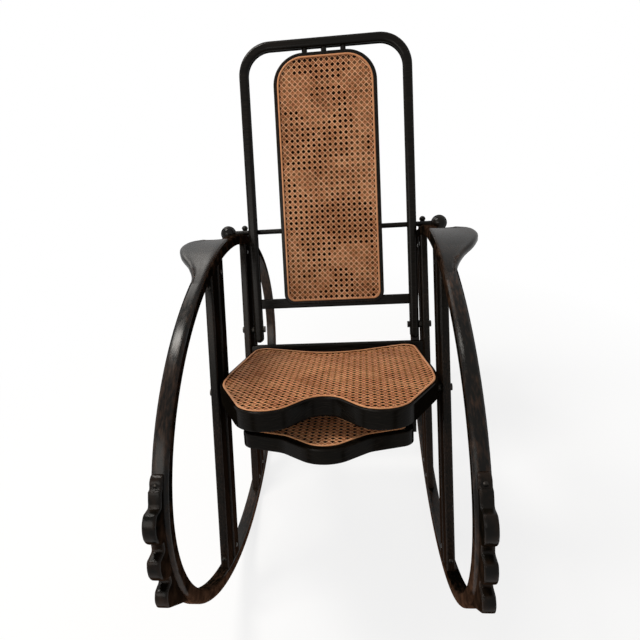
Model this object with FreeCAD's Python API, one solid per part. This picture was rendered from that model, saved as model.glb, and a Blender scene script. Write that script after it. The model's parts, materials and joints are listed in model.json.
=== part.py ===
import FreeCAD, Part
import math
import os
from FreeCAD import Placement, Rotation, Vector

# Bentwood rocking chair with a reclining caned back and a pull-out caned footrest.
# Units are millimetres and degrees.
#
# The chair is drawn in the frame of its straight side slats: x across, y towards
# the back and square to the slats, z up along the slats. y = 0 is the front face of
# the foremost slat and z = 0 is the height of the back's pivot. One last move
# leans this frame back by SLAT_LEAN and stands it on the floor, z = 0, with the
# origin under the middle of the chair.
SLAT_LEAN = 26.8

# Side hoops, the arms above and the rockers below. Each outline is two half ellipses
# on one long axis, the lower one deeper.
HOOP_LONG_HALF = 523.0
HOOP_UPPER_HALF = 355.0
HOOP_LOWER_HALF = 366.0
HOOP_RISE = 23.5
HOOP_MIDDLE_Y = 201.0
HOOP_MIDDLE_Z = -126.0
HOOP_GAP_HALF = 232.0
HOOP_WIDE = 28.0
HOOP_DEEP = 25.0
HOOP_OUTER_ROUND = 7.0
HOOP_INNER_ROUND = 4.0

# Arm paddles, in the hoop's own axes: u along the long axis, x across. A thin cap lies
# on the hoop and grows thicker to the back, and a thicker cheek flares out beside it.
ARM_FRONT_U = -165.0
ARM_BACK_U = 92.0
ARM_NECK_U = -121.0
ARM_NECK_X = 261.0
ARM_SWELL = ((-70.0, 282.0), (-18.0, 313.0))
ARM_REACH_U = 30.0
ARM_REACH = 330.0
ARM_HEEL = ((69.0, 327.0), (89.0, 309.0))
ARM_BACK_X = 293.0
ARM_HEEL_BULGE = 2.0
ARM_MARGIN = 3.0
ARM_CAP_FRONT = 1.0
ARM_CAP_BACK = 4.0
ARM_CHEEK_DEEP = 13.0

# Straight slats inside the hoops, two in front and two behind on each side
SLAT_THICK = 18.0
SLAT_DEEP = 38.0
SLAT_PAIR_GAP = 13.0
SLAT_INSET = 1.0
SLAT_ROUND = 4.0
REAR_SLAT_Y = 317.0

# Seat frame, in its own plane, which rises to the back by SEAT_RISE in the slat frame
SEAT_RISE = 8.0
SEAT_Z = -78.0
SEAT_RIM_HIGH = 38.0
SEAT_RIM_WIDE = 20.0
SEAT_EDGE = 5.5
SEAT_SLAT_GAP = 7.0
SEAT_NOTCH_Y = -83.0
SEAT_NOTCH_ROUND = 43.0
SEAT_LOBE_X = 120.0
SEAT_LOBE_Y = -226.0
SEAT_LOBE_ROUND = 65.0
SEAT_SIDE_FRONT_Y = -22.0
SEAT_SIDE_BACK_Y = 45.0
SEAT_SIDE_ROUND = 110.0
SEAT_TAPER_ROUND = 300.0
SEAT_REAR_X = 205.0
SEAT_REAR_Y = 270.0
SEAT_REAR_ROUND = 33.0
SEAT_HOLLOW_Y = 189.0
SEAT_HOLLOW_ROUND = 199.0

# Caned panels: a rabbet holds the cane, and a strip of spline covers its edge. Each
# panel's EDGE is what shows of its frame outside the spline.
CANE_THICK = 2.5
CANE_SUNK = 0.5
SPLINE_LAP = 2.5
SPLINE_WIDE = 5.0
SPLINE_HIGH = 1.5
RIM_ROUND = 3.0

# Rail behind the seat, between the rear slats
REAR_RAIL_HIGH = 50.0
REAR_RAIL_THICK = 22.0
REAR_RAIL_TOP = -44.0
REAR_RAIL_ROUND = 4.0

# Footrest frame under the seat, and the runners that carry it
FOOT_DROP = 40.0
FOOT_RIM_HIGH = 30.0
FOOT_RIM_WIDE = 24.0
FOOT_EDGE = 15.0
FOOT_TIP_Y = -184.0
FOOT_TIP_ROUND = 70.0
FOOT_WAIST_X = 84.0
FOOT_WAIST_Y = -117.0
FOOT_WAIST_ROUND = 50.0
FOOT_HALF = 168.0
FOOT_CORNER_Y = -90.0
FOOT_CORNER_ROUND = 28.0
FOOT_REAR_Y = 290.0
FOOT_REAR_ROUND = 14.0
RUNNER_FRONT_Y = -10.0
RUNNER_WEB = 11.0
RUNNER_PLATE = 9.0
RUNNER_LEDGE = 15.0
RUNNER_GRIP = 36.0
SLIDE_GAP = 0.4

# Back: inverted U of bent wood on two pivots, with the caned panel hung inside
PIVOT_Y = 338.0
BACK_FORWARD = 2.0
BACK_HALF = 224.5
BACK_SECTION = 24.0
BACK_TOP = 751.0
BACK_TAIL = 37.0
BACK_CORNER_ROUND = 84.0
BACK_EDGE_ROUND = 8.0
BACK_END_FLAT = 0.2
BACK_RAIL_LOW = 56.0
BACK_RAIL_HIGH = 26.0
BACK_RAIL_FRONT_Y = -4.0
BACK_RAIL_BACK_Y = 12.0
PANEL_FACE_Y = -11.0
PANEL_LOW = 65.0
PANEL_HALF = 134.5
PANEL_HIGH = 650.0
PANEL_THICK = 18.0
PANEL_RIM = 17.0
PANEL_EDGE = 9.5
PANEL_TOP_ROUND = 79.0
PANEL_FOOT_ROUND = 29.0
SPINDLE_THICK = 14.0
SPINDLE_PITCH = 50.0

# Pivot bolts through the rear slats and the back's legs
PIVOT_BOLT = 9.0
PIVOT_HEAD = 17.0
PIVOT_HEAD_HIGH = 6.0
PIVOT_BORE_FIT = 0.08
PIVOT_SIDE_GAP = 0.3
SPACER_SIZE = 20.0

# Rod with two balls behind the back, and the knobs that it leans on
ROD_THICK = 13.0
BALL_SIZE = 42.0
BALL_X = 286.0
REST_GAP = 0.3
KNOB_PITCH = 52.0
KNOB_ROWS = 3
KNOB_BASE = 20.0
KNOB_NECK = 10.0
KNOB_DOME = 17.0
KNOB_HIGH = 31.0
KNOB_FOOT = 3.0
KNOB_FIRST_GAP = 5.0

# Scalloped brackets on the fronts of the hoops. Each lobe is part of a disc: its centre's
# angle round the hoop and distance outside it, its size, and the angle of its flat top.
BRACKET_WIDE = 21.0
BRACKET_OUTSET = 1.5
BRACKET_PROUD = 14.0
BRACKET_TOP_ANGLE = 156.0
BRACKET_FOOT_ANGLE = 186.4
BRACKET_TAIL_ANGLE = 195.7
LOBE_ANGLES = (163.6, 173.2, 182.6)
LOBE_OUT = (5.5, 4.0, 18.6)
LOBE_SIZES = (66.0, 68.0, 46.0)
LOBE_TOP_ANGLES = (159.6, 170.2, 179.8)
NOSE_SIZE = 34.0
NOSE_ANGLE = 155.4
NOSE_SUNK = 8.0

# Screws and bolts
SCREW_HEAD = 9.0
SCREW_HEAD_HIGH = 1.6
SCREW_SUNK = 0.7
SCREW_FROM_END = 22.0
SEAT_BOLT = 8.0
SEAT_BOLT_DROP = 30.0
SEAT_BOLT_HEAD = 15.0
SEAT_BOLT_HEAD_HIGH = 5.0
BOLT_FIT = 0.1

HOOP_OUTER_X = HOOP_GAP_HALF + HOOP_WIDE
HOOP_CENTRE_X = HOOP_GAP_HALF + HOOP_WIDE / 2
SLAT_X = HOOP_GAP_HALF + SLAT_INSET
SLAT_OUTER_X = SLAT_X + SLAT_THICK
SEAT_HALF = SLAT_X - SEAT_SLAT_GAP
OVERCUT = 2.0
FLAT = 0.01
FAR = 2000.0


def keep(name, shape):
    """Stand a finished shape on the floor and write it as one file."""
    placed = shape.copy()
    placed.Placement = stand().multiply(placed.Placement)
    placed.exportStep("parts/" + name + ".step")
    print(name, len(placed.Solids), round(placed.Volume / 1000, 1), "cm3", placed.isValid())


def hoop_to_side(u, v):
    """From the hoop's own axes to the slat frame's y and z."""
    rise = math.radians(HOOP_RISE)
    y = HOOP_MIDDLE_Y + u * math.cos(rise) - v * math.sin(rise)
    z = HOOP_MIDDLE_Z + u * math.sin(rise) + v * math.cos(rise)
    return y, z


def hoop_frame(x=0.0):
    """Placement whose local x, y, z are the hoop's long axis, short axis and across."""
    rise = math.radians(HOOP_RISE)
    along = Vector(0, math.cos(rise), math.sin(rise))
    up = Vector(0, -math.sin(rise), math.cos(rise))
    return Placement(Vector(x, HOOP_MIDDLE_Y, HOOP_MIDDLE_Z), Rotation(along, up, Vector(1, 0, 0), "XYZ"))


def stand():
    """Placement that leans the slat frame back and sets the hoops on the floor."""
    lean = math.radians(SLAT_LEAN)
    tilt = math.radians(HOOP_RISE - SLAT_LEAN)
    rear_half = HOOP_UPPER_HALF if tilt < 0 else HOOP_LOWER_HALF
    drop = math.hypot(HOOP_LONG_HALF * math.sin(tilt), HOOP_LOWER_HALF * math.cos(tilt))
    reach = math.hypot(HOOP_LONG_HALF * math.cos(tilt), rear_half * math.sin(tilt))
    middle_y = HOOP_MIDDLE_Y * math.cos(lean) + HOOP_MIDDLE_Z * math.sin(lean)
    middle_z = -HOOP_MIDDLE_Y * math.sin(lean) + HOOP_MIDDLE_Z * math.cos(lean)
    front = min(lobe_front(*lobe, lean) for lobe in zip(lobe_centres(), LOBE_SIZES)) - middle_y
    centre_y = (reach + front) / 2
    return Placement(Vector(0, -middle_y - centre_y, drop - middle_z), Rotation(Vector(1, 0, 0), -SLAT_LEAN))


def hoop_point(angle, grow):
    """Point (y, z) of the hoop's outline, larger by grow, at an angle round it in degrees."""
    turn = math.radians(angle)
    short_half = HOOP_UPPER_HALF if math.sin(turn) > 0 else HOOP_LOWER_HALF
    return hoop_to_side((HOOP_LONG_HALF + grow) * math.cos(turn), (short_half + grow) * math.sin(turn))


def lobe_centres():
    """Centres (y, z) of a bracket's lobes, from the top down."""
    return [hoop_point(angle, out) for angle, out in zip(LOBE_ANGLES, LOBE_OUT)]


def lobe_front(centre, size, lean):
    """Foremost point of a bracket's lobe once the chair leans."""
    return centre[0] * math.cos(lean) + centre[1] * math.sin(lean) - size / 2


def both_sides(shape):
    """The right-hand shape and its mirror image on the left."""
    return shape, shape.mirror(Vector(0, 0, 0), Vector(1, 0, 0))


def box(x0, x1, y0, y1, z0, z1):
    return Part.makeBox(x1 - x0, y1 - y0, z1 - z0, Vector(x0, y0, z0))


def along_x(radius, x0, x1, y, z):
    """Cylinder along x."""
    return Part.makeCylinder(radius, x1 - x0, Vector(x0, y, z), Vector(1, 0, 0))


def round_edges(shape, radius, wanted):
    """Fillet the edges that the test picks."""
    return shape.makeFillet(radius, [edge for edge in shape.Edges if wanted(edge)])


def hoop_plug(grow, x0, x1):
    """Solid like the hoop's outline, larger by grow, from x0 to x1."""
    arcs = []
    for short_half, start in ((HOOP_UPPER_HALF, 0), (HOOP_LOWER_HALF, math.pi)):
        curve = Part.Ellipse(Vector(0, 0, 0), HOOP_LONG_HALF + grow, short_half + grow)
        arcs.append(Part.ArcOfEllipse(curve, start, start + math.pi).toShape())
    plug = Part.Face(Part.Wire(arcs)).extrude(Vector(0, 0, x1 - x0))
    plug.Placement = hoop_frame(x0)
    return plug


def outline_height(y, grow, upper):
    """Height z at y of the hoop's outline, larger by grow, on its upper or lower half."""
    long_half = HOOP_LONG_HALF + grow
    short_half = (HOOP_UPPER_HALF if upper else HOOP_LOWER_HALF) + grow
    rise = math.radians(HOOP_RISE)
    dy = y - HOOP_MIDDLE_Y
    a = (math.sin(rise) / long_half) ** 2 + (math.cos(rise) / short_half) ** 2
    b = 2 * dy * math.sin(rise) * math.cos(rise) * (1 / long_half ** 2 - 1 / short_half ** 2)
    c = (dy * math.cos(rise) / long_half) ** 2 + (dy * math.sin(rise) / short_half) ** 2 - 1
    root = math.sqrt(b * b - 4 * a * c)
    return HOOP_MIDDLE_Z + (-b + (root if upper else -root)) / (2 * a)


def rounded_outline(corners):
    """Closed wire in the xy plane from (x, y, radius) corners, each one an arc."""
    count = len(corners)
    spans = []
    for index in range(count):
        x, y, radius = corners[index]
        here = Vector(x, y, 0)
        before = (Vector(corners[index - 1][0], corners[index - 1][1], 0) - here).normalize()
        after_corner = corners[(index + 1) % count]
        after = (Vector(after_corner[0], after_corner[1], 0) - here).normalize()
        half = before.getAngle(after) / 2
        back_off = radius / math.tan(half)
        middle = here + (before + after).normalize() * (radius / math.sin(half) - radius)
        spans.append((here + before * back_off, middle, here + after * back_off))
    edges = []
    for index in range(count):
        start, middle, end = spans[index]
        edges.append(Part.Arc(start, middle, end).toShape())
        edges.append(Part.LineSegment(end, spans[(index + 1) % count][0]).toShape())
    return Part.Wire(edges)


def mirrored_outline(half):
    """Closed outline from the corners of its right half, front to back."""
    left = [(-x, y, radius) for x, y, radius in reversed(half) if x > 0]
    return rounded_outline(list(half) + left)


def plate(wire, inset, z0, z1):
    """Plate between two heights, with its outline drawn in by inset."""
    face = Part.Face(wire)
    if inset > 0:
        face = face.makeOffset2D(-inset)
    solid = face.extrude(Vector(0, 0, z1 - z0))
    solid.translate(Vector(0, 0, z0))
    return solid


def caned_frame(wire, edge_wide, rim_wide, rim_high):
    """Frame, cane and spline of a caned panel whose face is at z = 0."""
    rabbet = edge_wide + SPLINE_LAP
    frame = round_edges(
        plate(wire, 0, -rim_high, 0), RIM_ROUND, lambda edge: edge.BoundBox.ZLength < FLAT)
    frame = frame.cut(plate(wire, rim_wide, -rim_high, 0))
    frame = frame.cut(plate(wire, rabbet, -CANE_SUNK - CANE_THICK, 0))
    cane = plate(wire, rabbet, -CANE_SUNK - CANE_THICK, -CANE_SUNK)
    spline = plate(wire, edge_wide, 0, SPLINE_HIGH)
    return frame, cane, spline.cut(plate(wire, edge_wide + SPLINE_WIDE, 0, SPLINE_HIGH))


def seat_frame_placement():
    """Placement of the seat's plane: local x across, y to the back, z square to it."""
    return Placement(Vector(0, 0, SEAT_Z), Rotation(Vector(1, 0, 0), SEAT_RISE))


def back_placement():
    """Placement of the back's own frame: origin on the pivot, z up the legs."""
    return Placement(Vector(0, PIVOT_Y, 0), Rotation(Vector(1, 0, 0), BACK_FORWARD))


def hoop_rims(ring, outer):
    """The long edges of the ring's side faces, outer or inner."""
    middle = Vector(0, HOOP_MIDDLE_Y, HOOP_MIDDLE_Z)
    rims = []
    for edge in ring.Edges:
        end = edge.Vertexes[0].Point
        far = Vector(0, end.y, end.z).distanceToPoint(middle) > HOOP_LONG_HALF - HOOP_DEEP / 2
        if edge.BoundBox.XLength < HOOP_DEEP / 2 and edge.Length > HOOP_LONG_HALF and far == outer:
            rims.append(edge)
    return rims


def hoops():
    """The right-hand hoop and the left-hand one."""
    ring = hoop_plug(0, HOOP_GAP_HALF, HOOP_OUTER_X).cut(
        hoop_plug(-HOOP_DEEP, HOOP_GAP_HALF, HOOP_OUTER_X))
    ring = ring.makeFillet(HOOP_OUTER_ROUND, hoop_rims(ring, True))
    return both_sides(ring.makeFillet(HOOP_INNER_ROUND, hoop_rims(ring, False)))


def arm_cap_shift():
    """Shift (u, v) of the hoop's outline that leaves the cap's two thicknesses."""
    rows = []
    for u in (ARM_FRONT_U, ARM_BACK_U):
        v = HOOP_UPPER_HALF * math.sqrt(1 - (u / HOOP_LONG_HALF) ** 2)
        across = math.hypot(u / HOOP_LONG_HALF ** 2, v / HOOP_UPPER_HALF ** 2)
        rows.append((u / HOOP_LONG_HALF ** 2 / across, v / HOOP_UPPER_HALF ** 2 / across))
    (front_u, front_v), (back_u, back_v) = rows
    spread = front_u * back_v - back_u * front_v
    shift_u = (ARM_CAP_FRONT * back_v - ARM_CAP_BACK * front_v) / spread
    shift_v = (front_u * ARM_CAP_BACK - back_u * ARM_CAP_FRONT) / spread
    return shift_u, shift_v


def arms(hoop):
    """Paddles on the tops of the hoops: a cap on the hoop and a cheek that flares out."""
    inner = HOOP_GAP_HALF + ARM_MARGIN
    outline = ((ARM_FRONT_U, HOOP_OUTER_X - ARM_MARGIN), (ARM_NECK_U, ARM_NECK_X)) + ARM_SWELL
    outline += ((ARM_REACH_U, ARM_REACH),) + ARM_HEEL
    points = [Vector(u, 0, x) for u, x in outline]
    edge = Part.BSplineCurve()
    edge.interpolate(points)
    back_outer = points[-1]
    back_inner = Vector(ARM_BACK_U, 0, inner)
    front_inner = Vector(ARM_FRONT_U, 0, inner)
    corner = Vector(ARM_BACK_U, 0, ARM_BACK_X)
    bulge = Vector(ARM_HEEL_BULGE, 0, ARM_HEEL_BULGE)
    turn = Part.Arc(back_outer, (back_outer + corner) * 0.5 + bulge, corner).toShape()
    wire = Part.Wire([
        edge.toShape(), turn, Part.LineSegment(corner, back_inner).toShape(),
        Part.LineSegment(back_inner, front_inner).toShape(),
        Part.LineSegment(front_inner, points[0]).toShape()])
    column = Part.Face(wire).extrude(Vector(0, HOOP_UPPER_HALF * 2, 0))
    column.Placement = hoop_frame()
    top = hoop_plug(0, HOOP_GAP_HALF, ARM_REACH + OVERCUT)
    shift_y, shift_z = hoop_to_side(*arm_cap_shift())
    top.translate(Vector(0, shift_y - HOOP_MIDDLE_Y, shift_z - HOOP_MIDDLE_Z))
    under = hoop_plug(-ARM_CHEEK_DEEP, HOOP_GAP_HALF - OVERCUT, ARM_REACH + OVERCUT)
    return both_sides(column.common(top).cut(under).cut(hoop))


def slat(y0):
    """Right-hand slat that ends on the hoop's inner face."""
    board = box(SLAT_X, SLAT_OUTER_X, y0, y0 + SLAT_DEEP, -FAR, FAR)
    board = round_edges(board, SLAT_ROUND, lambda edge: edge.BoundBox.ZLength > FAR)
    return board.common(hoop_plug(-HOOP_DEEP, SLAT_X - OVERCUT, SLAT_OUTER_X + OVERCUT))


def bolt_holes(radius, y, z):
    """Drill along x through everything between the hoops' outer faces."""
    return along_x(radius, -HOOP_OUTER_X, HOOP_OUTER_X, y, z)


def seat_bolt_place():
    """Centre (y, z) of the bolts that hold the seat's rim to the foremost slats."""
    rise = math.radians(SEAT_RISE)
    y = SLAT_DEEP / 2
    return y, SEAT_Z + y * math.tan(rise) - SEAT_BOLT_DROP


def slats():
    """Four slats a side, drilled for the pivot and for the seat's bolts."""
    fore = slat(0.0)
    aft = slat(SLAT_DEEP + SLAT_PAIR_GAP)
    rear_fore = slat(REAR_SLAT_Y)
    rear_aft = slat(REAR_SLAT_Y + SLAT_DEEP + SLAT_PAIR_GAP)
    fore = fore.cut(bolt_holes(SEAT_BOLT / 2 + BOLT_FIT, *seat_bolt_place()))
    rear_fore = rear_fore.cut(bolt_holes(PIVOT_BOLT / 2 + BOLT_FIT, PIVOT_Y, 0))
    named = (("front_slat_fore", fore), ("front_slat_aft", aft),
             ("rear_slat_fore", rear_fore), ("rear_slat_aft", rear_aft))
    for name, board in named:
        for side, piece in zip(("right", "left"), both_sides(board)):
            keep(name + "_" + side, piece)


def screw_head(x, y, z, direction):
    """Domed screw head whose flat seat is at the point and which faces the direction."""
    radius = SCREW_HEAD / 2
    ball = (radius ** 2 + SCREW_HEAD_HIGH ** 2) / (2 * SCREW_HEAD_HIGH)
    dome = Part.makeSphere(ball, Vector(0, 0, SCREW_HEAD_HIGH - ball))
    dome = dome.common(Part.makeCylinder(radius, SCREW_HEAD_HIGH))
    dome.Placement = Placement(Vector(x, y, z), Rotation(Vector(0, 0, 1), direction))
    return dome


def screw_heights(y):
    """Heights of a slat's two screws, near its lower and upper ends."""
    low = outline_height(y, -HOOP_DEEP, False)
    high = outline_height(y, -HOOP_DEEP, True)
    return low + SCREW_FROM_END, high - SCREW_FROM_END


def slat_screws():
    """Screw heads on the front faces of the foremost slats and the inner faces of the rest."""
    heads = [screw_head(SLAT_X + SLAT_THICK / 2, 0, z, Vector(0, -1, 0)) for z in screw_heights(0)]
    for y0 in (SLAT_DEEP + SLAT_PAIR_GAP, REAR_SLAT_Y, REAR_SLAT_Y + SLAT_DEEP + SLAT_PAIR_GAP):
        y = y0 + SLAT_DEEP / 2
        heads += [screw_head(SLAT_X, y, z, Vector(-1, 0, 0)) for z in screw_heights(y)]
    right = Part.Compound(heads)
    return Part.Compound([right, right.mirror(Vector(0, 0, 0), Vector(1, 0, 0))])


def seat():
    """Seat frame with its two front lobes, cane and spline, drilled for its bolts."""
    outline = mirrored_outline([
        (0, SEAT_NOTCH_Y, SEAT_NOTCH_ROUND),
        (SEAT_LOBE_X, SEAT_LOBE_Y, SEAT_LOBE_ROUND),
        (SEAT_HALF, SEAT_SIDE_FRONT_Y, SEAT_SIDE_ROUND),
        (SEAT_HALF, SEAT_SIDE_BACK_Y, SEAT_TAPER_ROUND),
        (SEAT_REAR_X, SEAT_REAR_Y, SEAT_REAR_ROUND),
        (0, SEAT_HOLLOW_Y, SEAT_HOLLOW_ROUND)])
    frame, cane, spline = caned_frame(outline, SEAT_EDGE, SEAT_RIM_WIDE, SEAT_RIM_HIGH)
    for piece in (frame, cane, spline):
        piece.Placement = seat_frame_placement().multiply(piece.Placement)
    return frame.cut(bolt_holes(SEAT_BOLT / 2 + BOLT_FIT, *seat_bolt_place())), cane, spline


def seat_bolts():
    """Bolts from the foremost slats' outer faces to the seat's rim, with a collar between them."""
    y, z = seat_bolt_place()
    shank = along_x(SEAT_BOLT / 2, SEAT_HALF - SEAT_RIM_WIDE, SLAT_OUTER_X, y, z)
    collar = along_x(SEAT_BOLT_HEAD / 2, SEAT_HALF, SLAT_X, y, z)
    head = along_x(SEAT_BOLT_HEAD / 2, SLAT_OUTER_X, SLAT_OUTER_X + SEAT_BOLT_HEAD_HIGH, y, z)
    return Part.Compound(both_sides(shank.fuse([collar, head]).removeSplitter()))


def rear_rail():
    """Straight rail behind the seat, between the rear slats."""
    front = rail_front()
    low = REAR_RAIL_TOP - REAR_RAIL_HIGH
    rail = box(-SLAT_X, SLAT_X, front, front + REAR_RAIL_THICK, low, REAR_RAIL_TOP)
    return round_edges(rail, REAR_RAIL_ROUND, lambda edge: edge.BoundBox.XLength > SLAT_X)


def rail_front():
    """Front face (y) of the rail behind the seat, midway in the rear slats."""
    return REAR_SLAT_Y + (SLAT_DEEP - REAR_RAIL_THICK) / 2


def foot_top():
    """Height of the footrest's face below the seat's face, in the seat's own frame."""
    return -SEAT_RIM_HIGH - FOOT_DROP


def footrest():
    """Footrest frame with its central bulge, cane and spline."""
    outline = mirrored_outline([
        (0, FOOT_TIP_Y, FOOT_TIP_ROUND),
        (FOOT_WAIST_X, FOOT_WAIST_Y, FOOT_WAIST_ROUND),
        (FOOT_HALF, FOOT_CORNER_Y, FOOT_CORNER_ROUND),
        (FOOT_HALF, FOOT_REAR_Y, FOOT_REAR_ROUND)])
    pieces = caned_frame(outline, FOOT_EDGE, FOOT_RIM_WIDE, FOOT_RIM_HIGH)
    place = seat_frame_placement().multiply(Placement(Vector(0, 0, foot_top()), Rotation()))
    for piece in pieces:
        piece.Placement = place.multiply(piece.Placement)
    return pieces


def runners():
    """Runners under the seat that end on the rear rail; the footrest slides in them."""
    web = FOOT_HALF + SLIDE_GAP
    ledge_top = foot_top() - FOOT_RIM_HIGH - SLIDE_GAP
    top = -SEAT_RIM_HIGH
    back = web + RUNNER_WEB
    edge = back + RUNNER_GRIP
    lip = web - RUNNER_LEDGE
    bottom = ledge_top - RUNNER_PLATE
    profile = [
        (web, top), (edge, top), (edge, top - RUNNER_PLATE), (back, top - RUNNER_PLATE),
        (back, bottom), (lip, bottom), (lip, ledge_top), (web, ledge_top)]
    corners = [Vector(x, RUNNER_FRONT_Y, z) for x, z in profile]
    face = Part.Face(Part.makePolygon(corners + corners[:1]))
    runner = face.extrude(Vector(0, REAR_SLAT_Y * 2, 0))
    runner.Placement = seat_frame_placement()
    return both_sides(runner.common(box(0, SLAT_X, -FAR, rail_front(), -FAR, FAR)))


def back():
    """The back: bent frame, rail, caned panel, spindles, in the back's own frame."""
    half = BACK_HALF
    inner = BACK_HALF - BACK_SECTION
    end = (BACK_SECTION - BACK_END_FLAT) / 2
    hoop = rounded_outline([
        (half, -BACK_TAIL, end), (half, BACK_TOP, BACK_CORNER_ROUND),
        (-half, BACK_TOP, BACK_CORNER_ROUND), (-half, -BACK_TAIL, end),
        (-inner, -BACK_TAIL, end), (-inner, BACK_TOP - BACK_SECTION, BACK_CORNER_ROUND - BACK_SECTION),
        (inner, BACK_TOP - BACK_SECTION, BACK_CORNER_ROUND - BACK_SECTION), (inner, -BACK_TAIL, end)])
    frame = plate(hoop, 0, -BACK_SECTION / 2, BACK_SECTION / 2)
    frame = round_edges(frame, BACK_EDGE_ROUND, lambda edge: edge.BoundBox.ZLength < FLAT)
    upright = Rotation(Vector(1, 0, 0), Vector(0, 0, 1), Vector(0, -1, 0), "XYZ")
    frame.Placement = Placement(Vector(0, 0, 0), upright)
    bore = along_x(PIVOT_BOLT / 2 + PIVOT_BORE_FIT, -half - OVERCUT, half + OVERCUT, 0, 0)
    frame = frame.cut(bore)
    rail = box(
        -inner, inner, BACK_RAIL_FRONT_Y, BACK_RAIL_BACK_Y, BACK_RAIL_LOW, BACK_RAIL_LOW + BACK_RAIL_HIGH)
    lap = rail.copy()
    rail = round_edges(rail, RIM_ROUND, lambda edge: edge.BoundBox.XLength > inner)
    panel_top = PANEL_LOW + PANEL_HIGH
    outline = rounded_outline([
        (PANEL_HALF, PANEL_LOW, PANEL_FOOT_ROUND), (PANEL_HALF, panel_top, PANEL_TOP_ROUND),
        (-PANEL_HALF, panel_top, PANEL_TOP_ROUND), (-PANEL_HALF, PANEL_LOW, PANEL_FOOT_ROUND)])
    panel, cane, spline = caned_frame(outline, PANEL_EDGE, PANEL_RIM, PANEL_THICK)
    for piece in (panel, cane, spline):
        piece.Placement = Placement(Vector(0, PANEL_FACE_Y, 0), upright).multiply(piece.Placement)
    spindles = [
        Part.makeCylinder(SPINDLE_THICK / 2, BACK_TOP - BACK_SECTION - panel_top, Vector(x, 0, panel_top))
        for x in (-SPINDLE_PITCH, 0, SPINDLE_PITCH)]
    named = {
        "back_frame": frame, "back_rail": rail, "panel_frame": panel.cut(lap),
        "panel_cane": cane, "panel_spline": spline, "back_spindles": Part.Compound(spindles)}
    for piece in named.values():
        piece.Placement = back_placement().multiply(piece.Placement)
    return named


def pivots():
    """Bolts through the rear slats and the back's legs, with spacers between them."""
    inner = BACK_HALF - BACK_SECTION
    bolt = along_x(PIVOT_BOLT / 2, inner - PIVOT_HEAD_HIGH, SLAT_OUTER_X, PIVOT_Y, 0)
    inner_head = along_x(
        PIVOT_HEAD / 2, inner - PIVOT_SIDE_GAP - PIVOT_HEAD_HIGH, inner - PIVOT_SIDE_GAP, PIVOT_Y, 0)
    outer_head = along_x(PIVOT_HEAD / 2, SLAT_OUTER_X, SLAT_OUTER_X + PIVOT_HEAD_HIGH, PIVOT_Y, 0)
    bolt = bolt.fuse([inner_head, outer_head]).removeSplitter()
    spacer = along_x(SPACER_SIZE / 2, BACK_HALF + PIVOT_SIDE_GAP, SLAT_X, PIVOT_Y, 0)
    spacer = spacer.cut(bolt_holes(PIVOT_BOLT / 2 + BOLT_FIT, PIVOT_Y, 0))
    return Part.Compound(both_sides(bolt)), Part.Compound(both_sides(spacer))


def rod_place():
    """Centre (y, z) of the rod: on the hoops and just behind the back's legs."""
    lean = math.radians(BACK_FORWARD)
    lift = ROD_THICK / 2 + REST_GAP
    y = PIVOT_Y
    for _ in range(30):
        z = outline_height(y, lift, True)
        y = PIVOT_Y + (BACK_SECTION / 2 + lift) / math.cos(lean) - z * math.tan(lean)
    return y, z


def rod():
    """Round rod across both hoops, with a ball on each end."""
    y, z = rod_place()
    balls = both_sides(Part.makeSphere(BALL_SIZE / 2, Vector(BALL_X, y, z)))
    bar = along_x(ROD_THICK / 2, -BALL_X, BALL_X, y, z)
    return bar.cut(balls[0]).cut(balls[1]), balls


def knob(u):
    """Turned knob that stands on the top of the right-hand hoop at u."""
    base = KNOB_BASE / 2
    neck = KNOB_NECK / 2
    dome = KNOB_DOME / 2
    waist = KNOB_HIGH / 2
    shoulder = KNOB_HIGH - dome
    flare = Part.BSplineCurve()
    flare.interpolate([
        Vector(base, 0, KNOB_FOOT), Vector(neck * 1.3, 0, waist / 2), Vector(neck, 0, waist)])
    round_at = math.radians(45)
    cap = Part.Arc(
        Vector(dome, 0, shoulder),
        Vector(dome * math.cos(round_at), 0, shoulder + dome * math.sin(round_at)),
        Vector(0, 0, KNOB_HIGH))
    corners = [
        Vector(neck, 0, waist), Vector(dome, 0, shoulder), Vector(0, 0, KNOB_HIGH),
        Vector(0, 0, -HOOP_OUTER_ROUND), Vector(base, 0, -HOOP_OUTER_ROUND), Vector(base, 0, KNOB_FOOT)]
    shoulder_edge = Part.makeLine(corners[0], corners[1])
    foot_edges = [Part.makeLine(corners[index], corners[index + 1]) for index in (2, 3, 4)]
    wire = Part.Wire([flare.toShape(), shoulder_edge, cap.toShape()] + foot_edges)
    turned = Part.Face(wire).revolve(Vector(0, 0, 0), Vector(0, 0, 1), 360)
    v = HOOP_UPPER_HALF * math.sqrt(1 - (u / HOOP_LONG_HALF) ** 2)
    y, z = hoop_to_side(u, v)
    tip_y, tip_z = hoop_to_side(u + u / HOOP_LONG_HALF ** 2, v + v / HOOP_UPPER_HALF ** 2)
    outwards = Vector(0, tip_y - y, tip_z - z)
    turned.Placement = Placement(Vector(HOOP_CENTRE_X, y, z), Rotation(Vector(0, 0, 1), outwards))
    return turned.cut(hoop_plug(0, HOOP_GAP_HALF, HOOP_OUTER_X))


def knobs():
    """Pairs of knobs along the hoops' rear tops; the rod lies in front of the first."""
    y, z = rod_place()
    rise = math.radians(HOOP_RISE)
    rod_u = (y - HOOP_MIDDLE_Y) * math.cos(rise) + (z - HOOP_MIDDLE_Z) * math.sin(rise)
    first = rod_u + ROD_THICK / 2 + KNOB_DOME / 2 + KNOB_FIRST_GAP
    row = [knob(first + index * KNOB_PITCH) for index in range(KNOB_ROWS)]
    right = Part.Compound(row)
    return Part.Compound([right, right.mirror(Vector(0, 0, 0), Vector(1, 0, 0))])


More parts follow.
